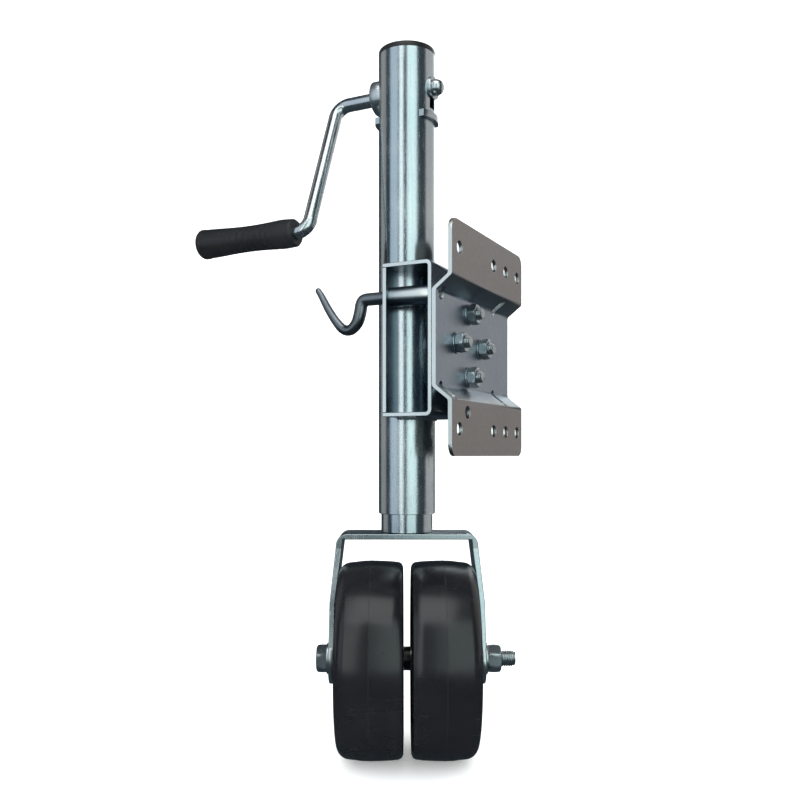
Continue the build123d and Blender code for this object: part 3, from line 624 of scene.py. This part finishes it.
def rib_between(inside, outside, low, high):
    """A radial rib, lower at its middle, with a rounded top edge."""
    section = ((-RIB_HALF_T * 1.3, 0.0), (-RIB_HALF_T, 0.78), (-RIB_HALF_T * 0.6, 1.0))
    section += tuple((-across, share) for across, share in reversed(section))
    vertices = []
    for station in range(RIB_STATIONS):
        along = station / (RIB_STATIONS - 1)
        x = inside + (outside - inside) * along
        top = high - (high - low) * RIB_DIP * sin(pi * along)
        vertices += [Vector((x, across, low + (top - low) * share)) for across, share in section]
    size = len(section)
    faces = []
    for station in range(RIB_STATIONS - 1):
        for corner in range(size):
            a = station * size + corner
            b = station * size + (corner + 1) % size
            faces.append((a, b, b + size, a + size))
    faces.append(tuple(reversed(range(size))))
    faces.append(tuple((RIB_STATIONS - 1) * size + corner for corner in range(size)))
    return vertices, faces


GRIP_BORE_R = 7.1 * MM
GRIP_RECESS_R = 9.6 * MM
GRIP_RECESS_DEPTH = 14 * MM
GRIP_WAIST = 1.9 * MM
GRIP_NECK = 1.2 * MM
GRIP_RIDGE = 0.42 * MM
GRIP_RIDGE_PITCH = 7.4 * MM
GRIP_STEPS = 150


def make_grip():
    """The moulded grip: waisted, flared at its outer end, with finger ridges and a ringed end button."""
    joint = joints["grip_spin"]
    low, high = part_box("grip")
    length = high.x - low.x
    radius = (high.z - low.z) / 2
    place = axis_frame((high.x, joint["pos_m"][1], joint["pos_m"][2]), (-1, 0, 0))
    rings = [
        (length - 4 * MM, GRIP_RECESS_R),
        (length - GRIP_RECESS_DEPTH, GRIP_RECESS_R),
        (length - GRIP_RECESS_DEPTH, GRIP_BORE_R),
        (0.3 * MM, GRIP_BORE_R),
        (0, GRIP_BORE_R + 0.4 * MM),
        (0, radius - 3.6 * MM),
        (0.6 * MM, radius - 2.8 * MM),
    ]
    body_start = 2 * MM
    body_end = length - 7 * MM
    for step in range(GRIP_STEPS + 1):
        share = step / GRIP_STEPS
        z = body_start + (body_end - body_start) * share
        neck = GRIP_NECK * max(0.0, 0.12 - share) / 0.12
        swell = radius - 0.5 * MM - GRIP_WAIST * sin(pi * share) ** 1.5 - neck
        ridges = GRIP_RIDGE * max(0.0, sin(pi * min(1, max(0, (share - 0.1) / 0.74)))) ** 0.5
        wave = abs(sin(pi * z / GRIP_RIDGE_PITCH))
        rings.append((z, swell - ridges * (1 - wave) ** 2))
    rings += [
        (length - 6.2 * MM, radius),
        (length - 3.0 * MM, radius - 0.1 * MM),
        (length - 1.2 * MM, radius - 1.2 * MM),
        (length - 0.2 * MM, radius - 3.2 * MM),
        (length, radius - 4.6 * MM),
        (length - 0.1 * MM, 8.6 * MM),
        (length - 1.2 * MM, 7.8 * MM),
        (length - 1.2 * MM, 6.0 * MM),
        (length - 0.5 * MM, 5.2 * MM),
        (length - 0.2 * MM, 2.5 * MM),
    ]
    piece("grip_moulding", [(place, turned(rings))], "grip", grip_black, ["grip"])


make_wheel("wheel_left", -1)
make_wheel("wheel_right", 1)
make_grip()


# ---- rods, welds and cap ------------------------------------------------------------------------------


def swept(path, radii, around):
    """A round rod through a path's points, with its own radius at each point and a flat face at each end."""
    vertices = []
    along = (path[1] - path[0]).normalized()
    across = along.orthogonal().normalized()
    for index, (point, radius) in enumerate(zip(path, radii)):
        ahead = (path[min(len(path) - 1, index + 1)] - path[max(0, index - 1)]).normalized()
        across = (across - across.dot(ahead) * ahead).normalized()
        up = ahead.cross(across)
        for corner in range(around):
            angle = 2 * pi * corner / around
            vertices.append(point + radius * (cos(angle) * across + sin(angle) * up))
    faces = []
    for index in range(len(path) - 1):
        for corner in range(around):
            a = index * around + corner
            b = index * around + (corner + 1) % around
            faces.append((a, b, b + around, a + around))
    faces.append(tuple(reversed(range(around))))
    faces.append(tuple((len(path) - 1) * around + corner for corner in range(around)))
    return vertices, faces


def smooth_path(points, steps=10):
    """A Catmull-Rom curve through points."""
    ends = [2 * points[0] - points[1], *points, 2 * points[-1] - points[-2]]
    path = []
    for p0, p1, p2, p3 in zip(ends, ends[1:], ends[2:], ends[3:]):
        for step in range(steps):
            t = step / steps
            path.append(
                0.5 * (2 * p1 + (p2 - p0) * t + (2 * p0 - 5 * p1 + 4 * p2 - p3) * t**2
                       + (3 * p1 - p0 - 3 * p2 + p3) * t**3)
            )
    path.append(points[-1])
    return path


PIN_R = 6.3 * MM
PIN_SEGMENTS = 32
PIN_STRAIGHT_END = 15 * MM  # to the left of the cheek plate
TAPER_START = 0.35  # as a share of the hook's length
TAPER = 0.52
TIP_STEPS = 6
# The hook's curve: millimetres right of the cheek plate, and above the pin's axis.
HOOK = ((-23.5, 0.0), (-27.6, -1.2), (-30.0, -5.5), (-31.5, -13.0), (-35.0, -22.5), (-42.0, -28.6),
        (-50.0, -28.0), (-58.5, -20.0), (-68.0, -6.5), (-75.5, 6.5), (-80.0, 13.2))


def make_pull_pin():
    """The pull pin's rod, whose hook handle bends down and up again and is drawn thinner towards its tip."""
    low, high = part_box("pull_pin")
    y = (low.y + high.y) / 2
    cheek_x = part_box("cheek_plate")[0].x
    pin_z = sum(corner.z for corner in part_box("pin_sleeve")) / 2
    straight = [(high.x - 0.01 * MM, 0.75), (high.x - 1.6 * MM, 1.0), (high.x - 4 * MM, 1.0)]
    straight += [(high.x + (cheek_x - PIN_STRAIGHT_END - high.x) * step / 12, 1.0) for step in range(2, 13)]
    path = [Vector((x, y, pin_z)) for x, _ in straight]
    radii = [PIN_R * share for _, share in straight]
    hook = smooth_path([Vector((cheek_x + x * MM, y, pin_z + z * MM)) for x, z in HOOK])
    path += hook
    for index in range(len(hook)):
        share = index / (len(hook) - 1)
        radii.append(PIN_R * (1 - TAPER * max(0.0, share - TAPER_START) / (1 - TAPER_START)))
    tip_r = radii[-1]
    ahead = (path[-1] - path[-2]).normalized()
    for step in range(1, TIP_STEPS + 1):
        angle = pi / 2 * step / TIP_STEPS
        path.append(hook[-1] + ahead * tip_r * sin(angle))
        radii.append(max(0.3 * MM, tip_r * cos(angle)))
    rod = (Matrix.Identity(4), swept(path, radii, PIN_SEGMENTS))
    piece("pull_pin_rod", [rod], "lock_pin", pin_zinc, ["pull_pin"])


CAP_RIM_T = 5.6 * MM
CAP_SKIRT = 12 * MM
CAP_SKIRT_INSET = 2.55 * MM


def make_cap():
    """The moulded cap: a rounded rim on the tube's end, a slightly domed top, and a skirt in the tube."""
    low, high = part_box("top_cap")
    radius = (high.x - low.x) / 2
    rim_z = low.z + CAP_SKIRT
    skirt_r = radius - CAP_SKIRT_INSET
    outside = [
        (low.z, skirt_r),
        (rim_z - 0.2 * MM, skirt_r),
        (rim_z, radius - 0.3 * MM),
        (rim_z + 0.3 * MM, radius),
        (rim_z + CAP_RIM_T - 1.4 * MM, radius),
        (rim_z + CAP_RIM_T - 0.4 * MM, radius - 0.45 * MM),
        (rim_z + CAP_RIM_T, radius - 1.4 * MM),
        (high.z - 0.8 * MM, radius - 8 * MM),
        (high.z - 0.2 * MM, radius / 2),
        (high.z, 3 * MM),
    ]
    inside = [
        (rim_z + 2.6 * MM, 3 * MM),
        (rim_z + 1.0 * MM, skirt_r - 4 * MM),
        (rim_z - 2 * MM, skirt_r - 2.5 * MM),
        (low.z, skirt_r - 2.4 * MM),
    ]
    centre = ((low.x + high.x) / 2, (low.y + high.y) / 2, 0)
    vertices, faces = turned(outside, ROUND, False, True)
    inner_vertices, inner_faces = turned(inside, ROUND, True, False)
    start = len(vertices)
    vertices += inner_vertices
    faces += [tuple(start + index for index in face) for face in inner_faces]
    last = start + (len(inside) - 1) * ROUND
    faces += [(step, last + step, last + (step + 1) % ROUND, (step + 1) % ROUND) for step in range(ROUND)]
    place = axis_frame(centre, (0, 0, 1))
    piece("top_cap_moulding", [(place, (vertices, faces))], "jack", cap_black, ["top_cap"])


BEAD_R = 1.9 * MM
BEAD_OFFSET = 0.7 * MM
BEAD_RISE = 0.2 * MM
BEAD_REACH = 84  # degrees to each side of the tube's right
BEAD_STEPS = 120
BEAD_RIPPLE = 0.14
BEAD_RIPPLE_STEPS = 5


def make_bracket_welds():
    """Fillet welds round the tube at the bracket's top and bottom, with a ripple and thinner ends."""
    low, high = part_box("swing_bracket")
    tube_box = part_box("outer_tube")
    out = (tube_box[1].x - tube_box[0].x) / 2 + BEAD_OFFSET
    parts = []
    for z in (high.z + BEAD_RISE, low.z - BEAD_RISE):
        path = []
        radii = []
        for step in range(BEAD_STEPS + 1):
            angle = radians(-BEAD_REACH + 2 * BEAD_REACH * step / BEAD_STEPS)
            path.append(Vector((tube_axis.x + out * cos(angle), tube_axis.y + out * sin(angle), z)))
            fade = min(1.0, 0.35 + 0.3 * min(step, BEAD_STEPS - step))
            radii.append(BEAD_R * fade * (1 + BEAD_RIPPLE * sin(2 * pi * step / BEAD_RIPPLE_STEPS)))
        parts.append((Matrix.Identity(4), swept(path, radii, 10)))
    piece("bracket_welds", parts, "jack", weld_metal)


make_pull_pin()
make_cap()
make_bracket_welds()


# ---- studio -------------------------------------------------------------------------------------------

VIEW_ANGLE = radians(26.5)
VIEW_DISTANCE = 0.9
VIEW_HEIGHT = -0.111
VIEW_ASIDE = -0.007
LENS = 39.8
SENSOR_WIDTH = 36
SHIFT_Y = 0.069
AIM_HEIGHT = -0.05

right = Vector((cos(VIEW_ANGLE), sin(VIEW_ANGLE), 0))
forward = Vector((-sin(VIEW_ANGLE), cos(VIEW_ANGLE), 0))


def around_tube(angle, distance, height):
    """A point round the tube, at an angle in degrees from the camera's side, positive towards its right."""
    turn = radians(angle)
    offset = distance * (sin(turn) * right - cos(turn) * forward)
    return Vector((tube_axis.x + offset.x, tube_axis.y + offset.y, height))


def aim(obj, place, target):
    """Puts a camera or light at a place, looking at a target."""
    obj.location = place
    obj.rotation_euler = (target - place).to_track_quat("-Z", "Y").to_euler()


def make_camera():
    """A level camera at the photo's distance, a little to the left of the tube."""
    camera = bpy.data.objects.new("camera", bpy.data.cameras.new("camera"))
    bpy.context.scene.collection.objects.link(camera)
    camera.data.lens = LENS
    camera.data.sensor_width = SENSOR_WIDTH
    camera.data.shift_y = SHIFT_Y
    camera.data.clip_start = 0.02
    place = around_tube(0, VIEW_DISTANCE, VIEW_HEIGHT) + VIEW_ASIDE * right
    aim(camera, place, place + forward)
    bpy.context.scene.camera = camera


def make_light(name, angle, distance, height, size, power, colour, target_height=AIM_HEIGHT):
    """A rectangle of light that looks at the tube's axis, and that the camera doesn't see."""
    light = bpy.data.lights.new(name, "AREA")
    light.shape = "RECTANGLE"
    light.size, light.size_y = size
    light.energy = power
    light.color = colour
    obj = bpy.data.objects.new(name, light)
    bpy.context.scene.collection.objects.link(obj)
    obj.visible_camera = False
    aim(obj, around_tube(angle, distance, height), Vector((tube_axis.x, tube_axis.y, target_height)))


FLAT_R = 2.4
CURVE_R = 1.2
CURVE_STEPS = 14
WALL_HEIGHT = 4.0


def make_floor():
    """A pale floor that curves up into a backdrop all round, so that no edge shows from any side."""
    floor_z = cad_bounds[0][2] - 0.2 * MM
    rings = []
    for step in range(CURVE_STEPS + 1):
        angle = pi / 2 * step / CURVE_STEPS
        rings.append((floor_z + CURVE_R * (1 - cos(angle)), FLAT_R + CURVE_R * sin(angle)))
    rings.append((floor_z + WALL_HEIGHT, FLAT_R + CURVE_R))
    vertices, faces = turned([(floor_z, 0.4), *rings], ROUND, True, False)
    mesh = bpy.data.meshes.new("floor")
    mesh.from_pydata([point + Vector((tube_axis.x, tube_axis.y, 0)) for point in vertices], [], faces)
    mesh.update()
    for polygon in mesh.polygons:
        polygon.use_smooth = True
    floor = bpy.data.objects.new("floor", mesh)
    bpy.context.scene.collection.objects.link(floor)
    floor.visible_glossy = False
    s = Shader("floor_white")
    s.set(Roughness=0.9)
    s.join(s.ramp(s.noise(3), (0.3, 0.90), (0.7, 0.93)), "Base Color")
    s.set(Emission_Color=(1, 1, 1, 1), Emission_Strength=0.3)
    dress(floor, s.material)


def make_world():
    """White light on what is dull, and a dim cool room for what is shiny to reflect."""
    world = bpy.data.worlds.new("studio")
    bpy.context.scene.world = world
    world.use_nodes = True
    tree = world.node_tree
    background = tree.nodes["Background"]
    mix = tree.nodes.new("ShaderNodeMix")
    mix.data_type = "RGBA"
    mix.inputs[6].default_value = (0.95, 0.955, 0.96, 1)
    mix.inputs[7].default_value = (0.035, 0.05, 0.06, 1)
    tree.links.new(tree.nodes.new("ShaderNodeLightPath").outputs["Is Glossy Ray"], mix.inputs[0])
    tree.links.new(mix.outputs[2], background.inputs["Color"])


make_camera()
make_floor()
make_world()

# Upright boxes of light round the object, which the tube shows as bands: angle, width, brightness, colour.
BOX_DISTANCE = 1.7
BOX_HEIGHT = 2.3
BOX_MIDDLE = 0.75
for number, (angle, width, radiance, colour) in enumerate((
    (20, 1.25, 1.30, (0.84, 1.0, 0.98)),
    (-23, 0.50, 1.45, (0.95, 1.0, 1.0)),
    (-54, 1.05, 0.75, (0.78, 0.89, 1.0)),
    (-112, 1.10, 0.34, (1.0, 0.92, 0.88)),
    (112, 2.00, 0.50, (1.0, 0.93, 0.90)),
)):
    power = radiance * pi * width * BOX_HEIGHT
    size = (width, BOX_HEIGHT)
    make_light(f"box_{number}", angle, BOX_DISTANCE, BOX_MIDDLE, size, power, colour, BOX_MIDDLE)
make_light("top_box", -10, 0.9, 1.9, (1.4, 1.4), 12, (1.0, 1.0, 1.0))
make_light("back_box", 160, 2.0, 1.1, (1.2, 1.2), 7, (0.92, 0.98, 1.0))
bpy.context.scene.view_settings.view_transform = "Standard"
